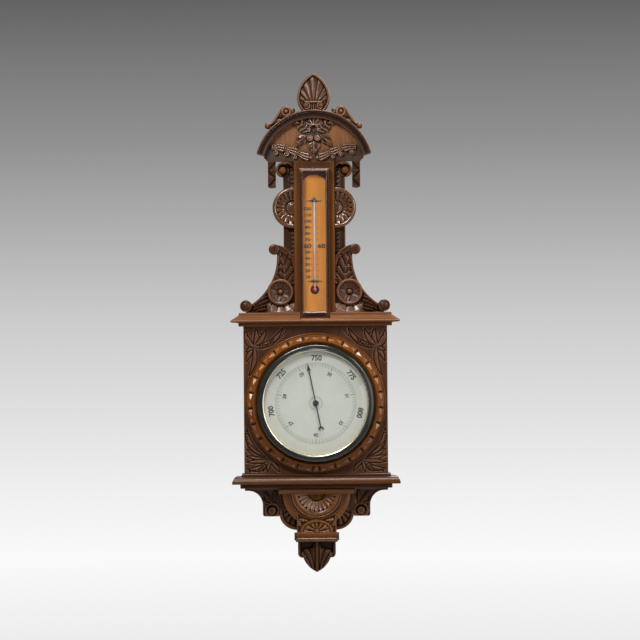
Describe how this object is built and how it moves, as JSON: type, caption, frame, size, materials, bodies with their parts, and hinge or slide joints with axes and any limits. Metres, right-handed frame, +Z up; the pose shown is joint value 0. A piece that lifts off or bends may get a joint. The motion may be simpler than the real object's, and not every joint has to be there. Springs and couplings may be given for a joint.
{
  "type": "banjo barometer",
  "caption": "Carved wooden wall barometer with a round aneroid dial in a square case, a boxed thermometer on the trunk and an arched pediment with a shell finial.",
  "frame": {"origin": "centre of the hanging hole, on the back plane that lies on the wall", "axes": "+Z up along the trunk, -Y forward out of the dial, +X to the right as the dial is read"},
  "size_m": [0.319, 0.0734, 0.9431],
  "materials": {
    "walnut": "carved and waxed, dark in the hollows and worn lighter on the edges",
    "russet_wood": "turned and carved, waxed to a soft gloss",
    "honey_wood": "flat panel, waxed",
    "boxwood": "thin polished plate with plain numbers",
    "clear_glass": "clear and polished",
    "red_spirit": "tinted thermometer liquid",
    "brass": "turned, slightly aged",
    "japanned_brass": "spun brass with black japan varnish",
    "white_enamel": "off-white dial with plain black figures",
    "blued_steel": "heat-blued and polished",
    "steel": "bright, machined"
  },
  "bodies": {
    "case_body": {"backboard": "walnut", "case_sides": "walnut", "front_panel": "walnut", "top_cornice": "walnut", "lower_cornice": "walnut", "pilaster": "walnut", "upper_roundels": "walnut", "bracket_left": "walnut", "bracket_right": "walnut", "bracket_paterae": "walnut", "thermometer_frame": "walnut", "pediment_hood": "walnut", "flower_carving": "walnut", "garland": "walnut", "drapery_ends": "walnut", "crest_finial": "walnut", "crest_scrolls": "walnut", "console_plate": "walnut", "console_cap": "walnut", "console": "walnut", "lower_ears": "walnut", "neck_moulding": "walnut", "pendant": "walnut", "dial_ring": "russet_wood", "tympanum": "honey_wood", "thermometer_scale": "boxwood", "thermometer_pane": "clear_glass", "thermometer_tube": "clear_glass", "dial_glass": "clear_glass", "thermometer_liquid": "red_spirit", "tube_clips": "brass", "sight_ring": "brass", "dial_spacer": "brass", "arbor_plates": "brass", "arbor_pillars": "brass", "rocker_posts": "brass", "spring_bridge": "brass", "vacuum_capsule": "brass", "movement_plate": "brass", "movement_case": "brass", "movement_screws": "brass", "hanging_plate": "brass", "hanging_screws": "brass", "bezel": "japanned_brass", "dial": "white_enamel", "hairspring": "steel", "chain": "steel", "lever_pin": "steel", "main_spring": "steel", "spring_screws": "steel", "capsule_pin": "steel", "board_screws": "steel"},
    "hand_body": {"hand": "blued_steel", "hand_hub": "blued_steel", "arbor": "steel"},
    "rocker_body": {"rocking_shaft": "steel"},
    "lever_body": {"main_lever": "steel", "link": "brass"},
    "adjuster_body": {"adjusting_screw": "steel"}
  },
  "joints": [
    {"name": "hand_turn", "type": "hinge", "parent": "case_body", "child": "hand_body", "pos_m": [0, -0.0476, -0.5], "axis": [0, 1, 0], "range_deg": [-150, 130], "deforming": ["hairspring", "chain"]},
    {"name": "rocker_turn", "type": "hinge", "parent": "case_body", "child": "rocker_body", "pos_m": [0.046, -0.028, -0.5], "axis": [0, 0, 1], "range_deg": [-10.5, 12.1]},
    {"name": "lever_turn", "type": "hinge", "parent": "case_body", "child": "lever_body", "pos_m": [-0.0585, -0.0375, -0.5], "axis": [0, 0, 1], "range_deg": [-1.05, 0.9]},
    {"name": "adjuster_turn", "type": "hinge", "parent": "case_body", "child": "adjuster_body", "pos_m": [-0.066, -0.014, -0.5], "axis": [0, 1, 0], "range_deg": [-360, 360]}
  ],
  "couplings": [
    {"joint": "rocker_turn", "follows": "hand_turn", "ratio": -0.08},
    {"joint": "lever_turn", "follows": "hand_turn", "ratio": 0.006632}
  ]
}
